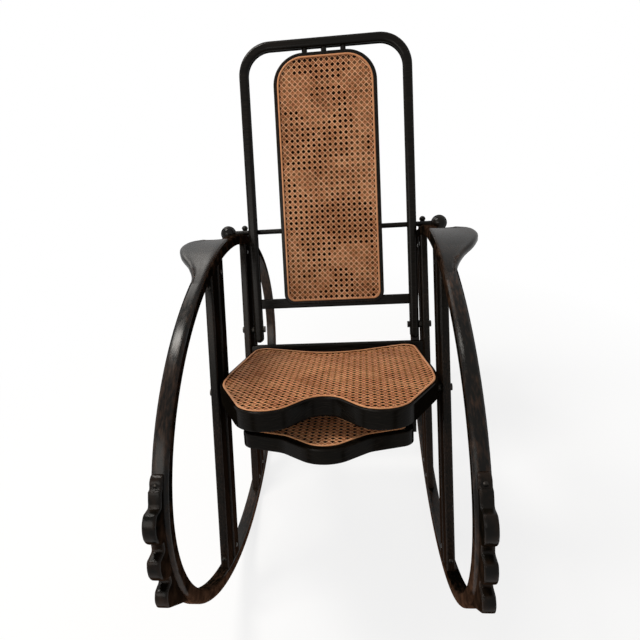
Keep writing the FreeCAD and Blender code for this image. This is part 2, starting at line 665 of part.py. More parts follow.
def sector(angles, x0, x1):
    """Wedge from the hoop's middle that opens between two angles round the hoop."""
    middle = Vector(x0, HOOP_MIDDLE_Y, HOOP_MIDDLE_Z)
    ends = [Vector(x0, *hoop_point(angle, 0)) for angle in angles]
    corners = [middle] + [middle + (end - middle) * 2 for end in ends] + [middle]
    return Part.Face(Part.makePolygon(corners)).extrude(Vector(x1 - x0, 0, 0))


def lobe(centre, size, top_angle, x0, x1):
    """Part of a disc below its flat top, which points at the hoop's middle."""
    disc = along_x(size / 2, x0, x1, *centre)
    return disc.common(sector((top_angle, BRACKET_TAIL_ANGLE), x0, x1))


def bracket_tail(x0, x1):
    """Prism that runs from the last lobe down to the hoop."""
    centre = Vector(x0, *lobe_centres()[-1])
    end = Vector(x0, *hoop_point(BRACKET_TAIL_ANGLE, 0))
    along = end - centre
    turn = math.degrees(math.acos(LOBE_SIZES[-1] / 2 / along.Length))
    touch = centre + Rotation(Vector(1, 0, 0), -turn).multVec(along).normalize() * LOBE_SIZES[-1] / 2
    inner = [Vector(x0, *hoop_point(angle, -HOOP_DEEP)) for angle in (BRACKET_TAIL_ANGLE, LOBE_ANGLES[-1])]
    corners = [centre, touch, end] + inner
    return Part.Face(Part.makePolygon(corners + corners[:1])).extrude(Vector(x1 - x0, 0, 0))


def brackets():
    """Scalloped brackets on the fronts of the hoops, and their screw heads."""
    middle = HOOP_CENTRE_X + BRACKET_OUTSET
    x0 = middle - BRACKET_WIDE / 2
    x1 = middle + BRACKET_WIDE / 2
    band = hoop_plug(BRACKET_PROUD, x0, x1).common(sector((BRACKET_TOP_ANGLE, BRACKET_FOOT_ANGLE), x0, x1))
    bumps = [lobe(*sizes, x0, x1) for sizes in zip(lobe_centres(), LOBE_SIZES, LOBE_TOP_ANGLES)]
    nose_y, nose_z = hoop_point(NOSE_ANGLE, -NOSE_SUNK)
    bumps += [along_x(NOSE_SIZE / 2, x0, x1, nose_y, nose_z), bracket_tail(x0, x1)]
    bracket = band.fuse(bumps).cut(hoop_plug(0, x0 - OVERCUT, x1 + OVERCUT)).removeSplitter()
    forwards = Vector(0, -1, 0)
    seat_y = nose_y - NOSE_SIZE / 2 + SCREW_SUNK
    head = screw_head(middle, seat_y, nose_z, forwards)
    pocket = Part.makeCylinder(SCREW_HEAD / 2, NOSE_SIZE, Vector(middle, seat_y, nose_z), forwards)
    return both_sides(bracket.cut(pocket)), Part.Compound(both_sides(head))


def main():
    os.makedirs("parts", exist_ok=True)
    hoop_pair = hoops()
    bracket_pair, bracket_screws = brackets()
    bar, ball_pair = rod()
    pairs = {
        "hoop": hoop_pair, "arm": arms(hoop_pair[0]), "footrest_runner": runners(),
        "front_bracket": bracket_pair, "rod_ball": ball_pair}
    for name, pair in pairs.items():
        for side, piece in zip(("right", "left"), pair):
            keep(name + "_" + side, piece)
    keep("bracket_screws", bracket_screws)
    slats()
    keep("slat_screws", slat_screws())
    for name, piece in zip(("seat_frame", "seat_cane", "seat_spline"), seat()):
        keep(name, piece)
    keep("seat_bolts", seat_bolts())
    keep("seat_rear_rail", rear_rail())
    for name, piece in zip(("footrest_frame", "footrest_cane", "footrest_spline"), footrest()):
        keep(name, piece)
    for name, piece in back().items():
        keep(name, piece)
    bolts, spacers = pivots()
    keep("pivot_bolts", bolts)
    keep("pivot_spacers", spacers)
    keep("support_rod", bar)
    keep("recline_knobs", knobs())


main()
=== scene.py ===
import json
import math

import bpy
from mathutils import Matrix, Vector


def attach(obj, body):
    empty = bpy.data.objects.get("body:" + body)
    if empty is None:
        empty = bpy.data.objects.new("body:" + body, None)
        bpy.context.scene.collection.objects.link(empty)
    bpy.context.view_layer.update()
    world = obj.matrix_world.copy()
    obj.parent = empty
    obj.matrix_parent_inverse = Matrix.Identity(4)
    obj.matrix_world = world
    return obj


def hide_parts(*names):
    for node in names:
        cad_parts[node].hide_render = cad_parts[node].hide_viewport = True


# Bentwood rocking chair, dressed on its solids. Metres; x across, -y to the front, z up.
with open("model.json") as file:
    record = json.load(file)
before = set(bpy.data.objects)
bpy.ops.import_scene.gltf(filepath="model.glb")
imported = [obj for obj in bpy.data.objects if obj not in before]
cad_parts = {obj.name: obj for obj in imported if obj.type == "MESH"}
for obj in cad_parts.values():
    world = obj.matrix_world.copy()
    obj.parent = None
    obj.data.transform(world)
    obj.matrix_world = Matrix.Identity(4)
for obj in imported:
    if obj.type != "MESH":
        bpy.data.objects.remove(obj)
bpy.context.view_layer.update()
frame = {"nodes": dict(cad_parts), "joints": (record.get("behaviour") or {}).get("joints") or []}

# The chair's own frame, as in its solids: y = 0 on the front of the foremost slats,
# z = 0 at the back's pivot, z up along the slats. STAND takes it to the floor.
PIVOT_Y = 0.338
JOINTS = {joint["name"]: joint for joint in frame["joints"]}
PIVOT = Vector(JOINTS["backrest_recline"]["pos_m"])
LIFT = Vector(JOINTS["support_rod_lift"]["axis"])
LEAN = math.atan2(LIFT.y, LIFT.z)
STAND = Matrix.Translation(PIVOT) @ Matrix.Rotation(-LEAN, 4, "X") @ Matrix.Translation((0, -PIVOT_Y, 0))

# Hoops and arm paddles, in the hoop's axes: u along its long axis, v square to it
HOOP_LONG_HALF = 0.523
HOOP_UPPER_HALF = 0.355
HOOP_RISE = math.radians(23.5)
HOOP_MIDDLE_Y = 0.201
HOOP_MIDDLE_Z = -0.126
HOOP_GAP_HALF = 0.232
ARM_STEPS = 56
ARM_FRONT_U = -0.165
ARM_BACK_U = 0.092
ARM_STATIONS = (
    (ARM_FRONT_U, 0.257), (-0.121, 0.261), (-0.070, 0.282), (-0.018, 0.313),
    (0.030, 0.330), (0.069, 0.327), (0.084, 0.317), (ARM_BACK_U, 0.300))
ARM_CAP_FRONT = -0.0004
ARM_CAP_BACK = 0.004
ARM_CHEEK_DEEP = 0.013

# The paddle's section starts at its inner side and dishes where it is wide enough. The
# rolled outer edge is in shares of its radius, and so is the smaller one under it. Points
# of the underside are least and most x past the hoops' gap, distance in from the cheek in
# radii of that smaller edge, and height over the cheek's foot.
ARM_INNER = HOOP_GAP_HALF + 0.0025
ARM_ROOT = (0.001, -0.004)
ARM_INNER_ROUND = ((0.0, -0.0015), (0.0006, -0.0004), (0.002, 0.0))
ARM_DISH = 0.0015
ARM_DISH_SPOTS = (0.2, 0.35, 0.5, 0.65, 0.8)
ARM_DISH_FROM = 0.03
ARM_DISH_FULL = 0.07
ARM_EDGE = 0.006
ARM_EDGE_SHARE = 0.2
ARM_EDGE_START = 1.4
ARM_EDGE_TURNS = (0.0, 30.0, 60.0, 90.0)
ARM_UNDER_SHARE = 0.6
ARM_UNDER_EDGE = ((0.0, 1.0), (0.3, 0.3), (1.0, 0.0))
ARM_UNDERSIDE = ((0.020, 0.030, 1.5, 0.0), (0.018, 0.023, 2.0, 0.004))

# Caned panels: outline corners are (x, y, radius) for the right half, front to back
SEAT_RISE = math.radians(8.0)
SEAT_Z = -0.078
SEAT_EDGE = 0.0055
SEAT_RIM_WIDE = 0.020
SEAT_CORNERS = (
    (0.0, -0.083, 0.043), (0.120, -0.226, 0.065), (0.226, -0.022, 0.110),
    (0.226, 0.045, 0.300), (0.205, 0.270, 0.033), (0.0, 0.189, 0.199))
FOOT_TOP = -0.078
FOOT_EDGE = 0.015
FOOT_RIM_WIDE = 0.024
FOOT_CORNERS = (
    (0.0, -0.184, 0.070), (0.084, -0.117, 0.050), (0.168, -0.090, 0.028), (0.168, 0.290, 0.014))
BACK_FORWARD = math.radians(2.0)
PANEL_FACE_Y = -0.011
PANEL_THICK = 0.018
PANEL_EDGE = 0.0095
PANEL_RIM = 0.017
PANEL_CORNERS = ((0.1345, 0.065, 0.029), (0.1345, 0.715, 0.079))
RABBET_DEEP = 0.003
SPLINE_LAP = 0.0025
SPLINE_WIDE = 0.005
SPLINE_HIGH = 0.0017
# Dark sheets behind the cane: painted shade seen through its holes
SHADE_SHEET_THICK = 0.0006
SHADE_SHEET_TOP = -0.005
SHADE_SHEET_GAP = 0.0003
REAR_WEAVE_LAP = 0.0003
REAR_WEAVE_SUNK = 0.0004

# Cane weave: pairs up and across, single strands on both diagonals
CANE_PITCH = 0.0135
PANEL_PITCH = 0.0142
PAIR_OFFSET = 0.0011
PAIR_STRAND = 0.0016
SLANT_STRAND = 0.0017
STRAND_HIGH = 0.0003
WEAVE_WAVE = 0.0001
PAIR_STEPS = 2
SLANT_STEPS = 4

# Height and tone of the strands that run up, across, and on either diagonal; the lower layers get
# darker tones, painted shade under the strands above them. The golden share spreads the tones of
# neighbours evenly.
CANE_LAYERS = ((0.0001, 0.10), (0.0003, 0.16), (0.0006, 0.62), (0.0008, 0.70))
TONE_SPREAD = 0.3
GOLDEN_SHARE = 0.618034

# Sections, as shares of a strip's width and height; a strand's points also carry a painted shade that
# darkens its edges
STRAND_PROFILE = ((-0.5, 0.0, 0.3), (-0.28, 1.0, 1.0), (0.28, 1.0, 1.0), (0.5, 0.0, 0.3))
SPLINE_PROFILE = (
    (0.0, 0.0), (0.1, 0.6), (0.3, 0.92), (0.5, 1.0),
    (0.7, 0.92), (0.9, 0.6), (1.0, 0.0), (0.5, -0.25))

# Arcs of outlines
ARC_STEP = math.radians(6)
LEAST_ROUND = 0.0005
PARALLEL = 1e-12

# Colours of the lacquer and of the wood under it, dark grain first, and of steel and of the sheets of
# painted shade
BLACK_STOPS = ((0.3, (0.0024, 0.002, 0.0014)), (0.75, (0.006, 0.0048, 0.0035)))
# The brown also serves as painted bounce light from the floor
BROWN_STOPS = ((0.3, (0.06, 0.029, 0.017)), (0.7, (0.13, 0.065, 0.038)))
STEEL_STOPS = ((0.3, (0.008, 0.007, 0.006)), (0.7, (0.04, 0.036, 0.032)))
# Painted shade of the sheets behind the cane: darkest, then the lightest patch for the seat and for the
# back
SHADE_SHEET_DARK_STOP = (0.45, (0.012, 0.005, 0.002))
SEAT_SHADE_SHEET_LIGHT = (0.03, 0.013, 0.006)
# The back sheet's lighter patches are painted light seen through the rear weave
BACK_SHADE_SHEET_LIGHT = (0.22, 0.11, 0.055)

# Lacquer: scales of its patches and streaks, where the brown wood shows through, and where brown
# is painted on low, down-facing faces as warm bounce light from the floor. Each brown range goes
# from none to full.
PATCH_SCALE = 9.0
STREAK_SCALE = 14.0
STREAK_DETAIL = 6.0
STREAK_RANGE = (0.3, 0.7)
ROUGH_SPREAD = 0.1
BEVEL_SAMPLES = 4
WEAR_LIMIT = 0.22
BROWN_EDGES = (1.0, 0.5)
# Painted bounce light: by height over the floor, and by how far the face looks down
BOUNCE_HEIGHTS = (0.5, 0.05)
BOUNCE_SLOPES = (0.6, -0.5)

# Cane and the sheets of painted shade: scales of their clouds, streaks and patches, and how far
# a cloud or a speck moves the tone
CANE_CLOUD_SCALE = 14.0
CANE_FINE_SCALE = 420.0
CLOUD_SHARE = 0.7
SPECK_SHARE = 0.5
SHADE_SHEET_FINE_SCALE = 600.0
SHADE_SHEET_PATCH_SCALE = 16.0
SHADE_SHEET_FINE_SHARE = 0.2
STEEL_SCALE = 160.0

# Cane colours, from the painted shade on a strand's edges to the lightest strands
CANE_STOPS = (
    (0.0, (0.09, 0.024, 0.007)), (0.25, (0.36, 0.125, 0.048)),
    (0.6, (0.62, 0.275, 0.125)), (1.0, (0.94, 0.55, 0.31)))
SEAT_CANE_STOPS = (
    (0.0, (0.04, 0.010, 0.003)), (0.25, (0.28, 0.080, 0.028)),
    (0.6, (0.62, 0.235, 0.092)), (1.0, (0.98, 0.54, 0.26)))
STRIP_STOPS = ((0.0, (0.50, 0.22, 0.10)), (0.35, (0.78, 0.44, 0.24)))

# Camera, in the chair's own frame, with the photo's angle of view
CAMERA_PLACE = (0.0843, -1.0229, 0.1184)
CAMERA_YAW = math.radians(5.3)
CAMERA_PITCH = math.radians(-4.12)
CAMERA_ROLL = math.radians(2.48)
CAMERA_LENS = 28.125
SENSOR = 36.0

# Studio: the floor takes the shadow near the chair and turns white between two distances
LAMP_COLOUR = (1.0, 0.96, 0.9)
WORLD_GREY = (0.32, 0.32, 0.32, 1)
FLOOR_GREY = (0.9, 0.9, 0.9, 1)
FLOOR_HALF = 8.0
FLOOR_DROP = 0.0005
SHADOW_NEAR = 0.7
SHADOW_FAR = 1.5
WHITE_SHARE_NEAR = 0.8

# Softening of the carved brackets
SOFT_VOXEL = 0.0013
SOFT_ROUNDS = 20


def outline(corners, inset=0.0):
    """Closed list of points of an outline whose corners are arcs, drawn in by inset."""
    count = len(corners)
    places = [Vector(corner[:2]) for corner in corners]
    area = sum(places[index - 1].cross(places[index]) for index in range(count))
    points = []
    for index, (here, corner) in enumerate(zip(places, corners)):
        before = (places[index - 1] - here).normalized()
        after = (places[(index + 1) % count] - here).normalized()
        half = before.angle(after) / 2
        centre = here + (before + after).normalized() * corner[2] / math.sin(half)
        convex = before.cross(after) * area < 0
        radius = max(corner[2] - inset, LEAST_ROUND) if convex else corner[2] + inset
        first = here + before * corner[2] / math.tan(half) - centre
        last = here + after * corner[2] / math.tan(half) - centre
        sweep = first.angle(last) * (1 if first.cross(last) > 0 else -1)
        start = math.atan2(first.y, first.x)
        steps = max(2, math.ceil(abs(sweep) / ARC_STEP))
        for step in range(steps + 1):
            angle = start + sweep * step / steps
            points.append(centre + Vector((math.cos(angle), math.sin(angle))) * radius)
    return points


def mirrored(half):
    """Corners of the whole outline from those of its right half."""
    left = [(-x, y, radius) for x, y, radius in reversed(half) if x > 0]
    return list(half) + left


def build(name, points, faces, place, smooth=True):
    """Mesh object from points in a placed frame."""
    mesh = bpy.data.meshes.new(name)
    mesh.from_pydata([place @ Vector(point) for point in points], [], faces)
    mesh.polygons.foreach_set("use_smooth", [smooth] * len(faces))
    mesh.update()
    item = bpy.data.objects.new(name, mesh)
    bpy.context.scene.collection.objects.link(item)
    return item


def crossings(start, along, border):
    """Distances from start at which a line enters and leaves a closed border."""
    hits = []
    for index, end in enumerate(border):
        side = end - border[index - 1]
        wide = along.cross(side)
        if abs(wide) < PARALLEL:
            continue
        away = border[index - 1] - start
        share = away.cross(along) / wide
        if 0 <= share < 1:
            hits.append(away.cross(side) / wide)
    hits.sort()
    return list(zip(hits[::2], hits[1::2]))


class Weave:
    """Collects strands of cane as one mesh, each with a tone of its own, darker on the lower layers and
    along its edges as painted shade.
    """

    def __init__(self, border, floor):
        self.border = border
        self.floor = floor
        self.points = []
        self.faces = []
        self.tones = []
        self.count = 0

    def strand(self, start, along, width, layer, wave, step):
        """Flat strand with bevelled edges that dips and rises as it passes the others."""
        side = Vector((-along.y, along.x))
        height = self.floor + layer[0]
        corners = len(STRAND_PROFILE)
        for enter, leave in crossings(start, along, self.border):
            self.count += 1
            # The layer's tone is darker for lower layers as painted shade; the spread varies it evenly
            tone = layer[1] + TONE_SPREAD * ((self.count * GOLDEN_SHARE) % 1.0)
            pieces = max(1, round((leave - enter) / step))
            base = len(self.points)
            for index in range(pieces + 1):
                run = enter + (leave - enter) * index / pieces
                middle = start + along * run
                lift = height + WEAVE_WAVE * math.cos(wave * run)
                for across, up, shade in STRAND_PROFILE:
                    spot = middle + side * (across * width)
                    self.points.append((spot.x, spot.y, lift + up * STRAND_HIGH))
                    # The profile's shade darkens the strand's edges: painted shade
                    self.tones.append(tone * shade)
            for index in range(pieces):
                near = base + index * corners
                far = near + corners
                for corner in range(corners):
                    turn = (corner + 1) % corners
                    self.faces.append((near + corner, far + corner, far + turn, near + turn))


def weave(name, border, floor, place, pitch):
    """Six-way cane weave inside a border, standing on a floor height."""
    cane = Weave(border, floor)
    low = Vector((min(point.x for point in border), min(point.y for point in border)))
    high = Vector((max(point.x for point in border), max(point.y for point in border)))
    wave = 2 * math.pi / pitch
    step = pitch / PAIR_STEPS
    columns = math.ceil((high.x - low.x) / pitch)
    rows = math.ceil((high.y - low.y) / pitch)
    left = (low.x + high.x) / 2 - columns * pitch / 2
    for column in range(columns + 1):
        for shift in (-PAIR_OFFSET, PAIR_OFFSET):
            start = Vector((left + column * pitch + shift, low.y))
            cane.strand(start, Vector((0, 1)), PAIR_STRAND, CANE_LAYERS[0], wave, step)
    for row in range(rows + 1):
        for shift in (-PAIR_OFFSET, PAIR_OFFSET):
            start = Vector((left, low.y + row * pitch + shift))
            cane.strand(start, Vector((1, 0)), PAIR_STRAND, CANE_LAYERS[1], wave, step)
    slant = wave / math.sqrt(2)
    step = pitch * math.sqrt(2) / SLANT_STEPS
    for row in range(-columns - 1, rows + columns + 2):
        start = Vector((left, low.y + (row + 0.5) * pitch))
        for rise, layer in ((1, CANE_LAYERS[2]), (-1, CANE_LAYERS[3])):
            along = Vector((1, rise)).normalized()
            cane.strand(start, along, SLANT_STRAND, layer, slant, step)
    item = build(name, cane.points, cane.faces, place)
    tone = item.data.attributes.new("tone", "FLOAT", "POINT")
    tone.data.foreach_set("value", cane.tones)
    return item


def spline_strip(name, corners, edge, place):
    """Half-round strip that covers the cane's edge."""
    rings = []
    for across, up in SPLINE_PROFILE:
        ring = outline(corners, edge + SPLINE_WIDE * across)
        rings.append([(point.x, point.y, SPLINE_HIGH * up) for point in ring])
    return loft(name, rings, place, closed_along=True)


def loft(name, lines, place, closed_along=False):
    """Closed tube through lines of equal length that run along the piece."""
    count = len(lines[0])
    points = [point for line in lines for point in line]
    starts = [index * count for index in range(len(lines))]
    faces = []
    for here, after in zip(starts, starts[1:] + starts[:1]):
        for index in range(count if closed_along else count - 1):
            turn = (index + 1) % count
            faces.append((here + index, after + index, after + turn, here + turn))
    if not closed_along:
        faces.append(starts)
        faces.append([start + count - 1 for start in reversed(starts)])
    return build(name, points, faces, place)


def painted_shade_sheet(name, corners, rim, place):
    """Thin dark sheet behind the cane, just inside the frame's rim: painted shade seen through the
    holes.
    """
    border = outline(corners, rim + SHADE_SHEET_GAP)
    count = len(border)
    points = [(point.x, point.y, SHADE_SHEET_TOP) for point in border]
    points += [(point.x, point.y, SHADE_SHEET_TOP - SHADE_SHEET_THICK) for point in border]
    faces = [tuple(range(count)), tuple(reversed(range(count, 2 * count)))]
    for index in range(count):
        turn = (index + 1) % count
        faces.append((index, index + count, turn + count, turn))
    return build(name, points, faces, place, smooth=False)


def smooth_line(stations, u):
    """Value x at u of a smooth curve through the stations (u, x)."""
    for index in range(len(stations) - 1):
        (u0, x0), (u1, x1) = stations[index], stations[index + 1]
        if u <= u1:
            break
    before = stations[max(index - 1, 0)]
    after = stations[min(index + 2, len(stations) - 1)]
    slope0 = (x1 - before[1]) / (u1 - before[0])
    slope1 = (after[1] - x0) / (after[0] - u0)
    wide = u1 - u0
    t = (u - u0) / wide
    return ((2 * t**3 - 3 * t**2 + 1) * x0 + (t**3 - 2 * t**2 + t) * wide * slope0
            + (-2 * t**3 + 3 * t**2) * x1 + (t**3 - t**2) * wide * slope1)


def arm_section(u, share):
    """Closed section of the paddle at u, as (x, height over the hoop's curve)."""
    reach = smooth_line(ARM_STATIONS, u)
    wide = reach - ARM_INNER
    cap = ARM_CAP_FRONT + (ARM_CAP_BACK - ARM_CAP_FRONT) * share
    edge = min(ARM_EDGE, wide * ARM_EDGE_SHARE)
    section = [(ARM_INNER + ARM_ROOT[0], ARM_ROOT[1])]
    section += [(ARM_INNER + across, cap + up) for across, up in ARM_INNER_ROUND]
    full = (wide - ARM_DISH_FROM) / (ARM_DISH_FULL - ARM_DISH_FROM)
    deep = ARM_DISH * min(1.0, max(0.0, full))
    for spot in ARM_DISH_SPOTS:
        section.append((ARM_INNER + wide * spot, cap - deep * math.sin(math.pi * spot)))
    section.append((reach - edge * ARM_EDGE_START, cap))
    for turn in ARM_EDGE_TURNS:
        angle = math.radians(turn)
        section.append((reach - edge + edge * math.sin(angle), cap - edge + edge * math.cos(angle)))
    low = -ARM_CHEEK_DEEP
    under = edge * ARM_UNDER_SHARE
    section += [(reach - under * inward, low + under * up) for inward, up in ARM_UNDER_EDGE]
    for least, most, back, rise in ARM_UNDERSIDE:
        x = max(HOOP_GAP_HALF + least, min(reach - under * back, HOOP_GAP_HALF + most))
        section.append((x, low + rise))
    return section


def arm(name, side):
    """Paddle on top of a hoop: flush in front, flaring out and a little dished behind."""
    hoop = STAND @ Matrix.Translation((0, HOOP_MIDDLE_Y, HOOP_MIDDLE_Z))
    hoop = hoop @ Matrix.Rotation(HOOP_RISE, 4, "X")
    rings = []
    for index in range(ARM_STEPS + 1):
        share = index / ARM_STEPS
        u = ARM_FRONT_U + (ARM_BACK_U - ARM_FRONT_U) * share
        v = HOOP_UPPER_HALF * math.sqrt(1 - (u / HOOP_LONG_HALF) ** 2)
        normal = Vector((u / HOOP_LONG_HALF**2, v / HOOP_UPPER_HALF**2)).normalized()
        rings.append([
            (side * x, u + normal.x * height, v + normal.y * height)
            for x, height in arm_section(u, share)])
    return loft(name, list(zip(*rings)), hoop)


def node_tree(name):
    """New material with nodes; returns it, its nodes, its links and its shader."""
    material = bpy.data.materials.new(name)
    material.use_nodes = True
    nodes = material.node_tree.nodes
    return material, nodes, material.node_tree.links, nodes["Principled BSDF"]


def noise(nodes, links, vector, scale, detail=3.0):
    """Noise from about 0 to 1 over a vector."""
    item = nodes.new("ShaderNodeTexNoise")
    item.inputs["Scale"].default_value = scale
    item.inputs["Detail"].default_value = detail
    links.new(vector, item.inputs["Vector"])
    return item.outputs["Fac"]


def object_space(nodes, links, scale=(1, 1, 1), turn=(0, 0, 0)):
    """Object coordinates, stretched and turned."""
    place = nodes.new("ShaderNodeTexCoord")
    mapping = nodes.new("ShaderNodeMapping")
    mapping.inputs["Scale"].default_value = scale
    mapping.inputs["Rotation"].default_value = turn
    links.new(place.outputs["Object"], mapping.inputs["Vector"])
    return mapping.outputs["Vector"]


def ramp(nodes, links, value, *stops):
    """Colour that follows a value through its stops (position, colour)."""
    item = nodes.new("ShaderNodeValToRGB")
    elements = item.color_ramp.elements
    while len(elements) < len(stops):
        elements.new(1.0)
    for element, (position, colour) in zip(elements, stops):
        element.position = position
        element.color = (*colour, 1)
    links.new(value, item.inputs["Fac"])
    return item.outputs["Color"]


def math_node(nodes, links, operation, first, second):
    """Sum, product or other operation of two values; either may be a number."""
    item = nodes.new("ShaderNodeMath")
    item.operation = operation
    for socket, value in zip(item.inputs, (first, second)):
        if isinstance(value, (int, float)):
            socket.default_value = value
        else:
            links.new(value, socket)
    return item.outputs["Value"]


def blend_colours(nodes, links, share, first, second):
    """First colour at share 0 and second at share 1."""
    item = nodes.new("ShaderNodeMix")
    item.data_type = "RGBA"
    links.new(share, item.inputs["Factor"])
    for socket, value in ((item.inputs["A"], first), (item.inputs["B"], second)):
        if isinstance(value, tuple):
            socket.default_value = (*value, 1)
        else:
            links.new(value, socket)
    return item.outputs["Result"]


def map_range(nodes, links, value, low, high, first, last):
    """Value taken from the range low to high into the range first to last, held at the ends."""
    item = nodes.new("ShaderNodeMapRange")
    for socket, number in zip(("From Min", "From Max", "To Min", "To Max"), (low, high, first, last)):
        item.inputs[socket].default_value = number
    links.new(value, item.inputs["Value"])
    return item.outputs["Result"]


def height_of(nodes, links, vector):
    """Upward part of a vector."""
    item = nodes.new("ShaderNodeSeparateXYZ")
    links.new(vector, item.inputs["Vector"])
    return item.outputs["Z"]


def bump(nodes, links, height, shader, strength, distance, normal=None):
    """Fine relief on a shader, over a given normal or the surface's own."""
    item = nodes.new("ShaderNodeBump")
    item.inputs["Strength"].default_value = strength
    item.inputs["Distance"].default_value = distance
    links.new(height, item.inputs["Height"])
    if normal is not None:
        links.new(normal, item.inputs["Normal"])
    links.new(item.outputs["Normal"], shader.inputs["Normal"])


def even_gloss(shader, rough, specular):
    """The same roughness and gloss all over a shader."""
    shader.inputs["Roughness"].default_value = rough
    shader.inputs["Specular IOR Level"].default_value = specular


def edge_wear(nodes, links, round_edge):
    """Wear on a solid's edges, the normal that rounds them, and the plain normal."""
    soft = nodes.new("ShaderNodeBevel")
    soft.samples = BEVEL_SAMPLES
    soft.inputs["Radius"].default_value = round_edge
    flat = nodes.new("ShaderNodeNewGeometry")
    turned = nodes.new("ShaderNodeVectorMath")
    turned.operation = "DOT_PRODUCT"
    links.new(soft.outputs["Normal"], turned.inputs[0])
    links.new(flat.outputs["Normal"], turned.inputs[1])
    wear = map_range(nodes, links, turned.outputs["Value"], *BROWN_EDGES, 0.0, 1.0)
    return wear, soft.outputs["Normal"], flat.outputs["Normal"]


def lacquer(
        name, grain, wear_and_bounce, turn=(0, 0, 0), gloss=0.2, round_edge=0.0025, shine=0.08, fade=(0.48, 0.6)):
    """Black lacquer over brown wood: grain and rubbed edges, with brown painted on low, down-facing
    faces as warm bounce light from the floor.
    """
    material, nodes, links, shader = node_tree(name)
    plain = object_space(nodes, links)
    along = object_space(nodes, links, grain, turn)
    wear, soft_normal, flat_normal = edge_wear(nodes, links, round_edge)
    patches = noise(nodes, links, plain, PATCH_SCALE)
    streaks = noise(nodes, links, along, STREAK_SCALE, STREAK_DETAIL)
    rubbed = math_node(nodes, links, "MULTIPLY", wear, patches)
    broad = math_node(nodes, links, "MULTIPLY", patches, streaks)
    broad = math_node(nodes, links, "SUBTRACT", broad, WEAR_LIMIT)
    share = math_node(nodes, links, "ADD", rubbed, math_node(nodes, links, "MULTIPLY", broad, wear_and_bounce))
    # Painted bounce light from the floor: brown on down-facing faces, more so lower down
    low = map_range(nodes, links, height_of(nodes, links, plain), *BOUNCE_HEIGHTS, 0.0, wear_and_bounce)
    under = map_range(nodes, links, height_of(nodes, links, flat_normal), *BOUNCE_SLOPES, 0.0, 1.0)
    share = math_node(nodes, links, "ADD", share, math_node(nodes, links, "MULTIPLY", low, under))
    clamp = nodes.new("ShaderNodeClamp")
    links.new(share, clamp.inputs["Value"])
    black = ramp(nodes, links, streaks, *BLACK_STOPS)
    brown = ramp(nodes, links, streaks, *BROWN_STOPS)
    colour = blend_colours(nodes, links, clamp.outputs["Result"], black, brown)
    links.new(colour, shader.inputs["Base Color"])
    rough = map_range(nodes, links, streaks, *STREAK_RANGE, gloss, gloss + ROUGH_SPREAD)
    links.new(rough, shader.inputs["Roughness"])
    # The gloss fades where the surface is seen at a flat angle; the plain value is its most
    slant = nodes.new("ShaderNodeLayerWeight")
    gloss_left = map_range(nodes, links, slant.outputs["Facing"], *fade, shine, 0.0)
    shader.inputs["Specular IOR Level"].default_value = shine
    links.new(gloss_left, shader.inputs["Specular IOR Level"])
    bump(nodes, links, streaks, shader, strength=0.1, distance=0.0006, normal=soft_normal)
    return material


def cane_material(name, stops):
    """Cane: a tone for each strand, with painted shade along its edges and on the lower layers, with
    streaks and a dry sheen.
    """
    material, nodes, links, shader = node_tree(name)
    plain = object_space(nodes, links)
    tone = nodes.new("ShaderNodeAttribute")
    tone.attribute_name = "tone"
    cloud = noise(nodes, links, plain, CANE_CLOUD_SCALE)
    fine = noise(nodes, links, plain, CANE_FINE_SCALE)
    mixed = tone.outputs["Fac"]
    for texture, amount in ((cloud, CLOUD_SHARE), (fine, SPECK_SHARE)):
        level = math_node(nodes, links, "SUBTRACT", texture, 0.5)
        level = math_node(nodes, links, "MULTIPLY", level, amount)
        mixed = math_node(nodes, links, "ADD", mixed, level)
    links.new(ramp(nodes, links, mixed, *stops), shader.inputs["Base Color"])
    even_gloss(shader, rough=0.45, specular=0.15)
    bump(nodes, links, fine, shader, strength=0.3, distance=0.0003)
    return material


def shade_sheet_material(name, light):
    """Dark brown sheet of painted shade behind the cane, with painted lighter patches up to the given
    colour.
    """
    material, nodes, links, shader = node_tree(name)
    plain = object_space(nodes, links)
    fine = noise(nodes, links, plain, SHADE_SHEET_FINE_SCALE)
    # Blocky lighter patches painted on the shade; on the back's sheet they stand for light through the
    # weave
    blocks = nodes.new("ShaderNodeTexVoronoi")
    blocks.distance = "CHEBYCHEV"
    blocks.inputs["Scale"].default_value = SHADE_SHEET_PATCH_SCALE
    links.new(plain, blocks.inputs["Vector"])
    cell = nodes.new("ShaderNodeSeparateColor")
    links.new(blocks.outputs["Color"], cell.inputs["Color"])
    level = math_node(nodes, links, "MULTIPLY", fine, SHADE_SHEET_FINE_SHARE)
    patches = math_node(nodes, links, "ADD", cell.outputs["Red"], level)
    links.new(ramp(nodes, links, patches, SHADE_SHEET_DARK_STOP, (1.0, light)), shader.inputs["Base Color"])
    even_gloss(shader, rough=0.9, specular=0.1)
    return material


def metal_material():
    """Dark, slightly tarnished steel."""
    material, nodes, links, shader = node_tree("dark_steel")
    plain = object_space(nodes, links)
    cloud = noise(nodes, links, plain, STEEL_SCALE)
    tint = ramp(nodes, links, cloud, *STEEL_STOPS)
    links.new(tint, shader.inputs["Base Color"])
    shader.inputs["Metallic"].default_value = 1.0
    shader.inputs["Roughness"].default_value = 0.3
    return material


def dress(item, material):
    """One material on the whole piece."""
    item.data.materials.clear()
    item.data.materials.append(material)


def add_panel(prefix, corners, body, place, edge, rim, pitch, materials):
    """Woven cane, its spline and the dark sheet of painted shade behind it, for one caned frame."""
    woven = weave(prefix + "_weave", outline(corners, edge + SPLINE_LAP), -RABBET_DEEP, place, pitch)
    strip = spline_strip(prefix + "_spline_strip", corners, edge, place)
    # Dark sheet just under the cane: painted shade seen through the holes
    back = painted_shade_sheet(prefix + "_lining", corners, rim, place)
    for item, material, slot in zip((woven, strip, back), materials, ("cane", "cane_spline", "cane")):
        dress(item, material)
        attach(item, body)
    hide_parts(prefix + "_cane")
    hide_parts(prefix + "_spline")


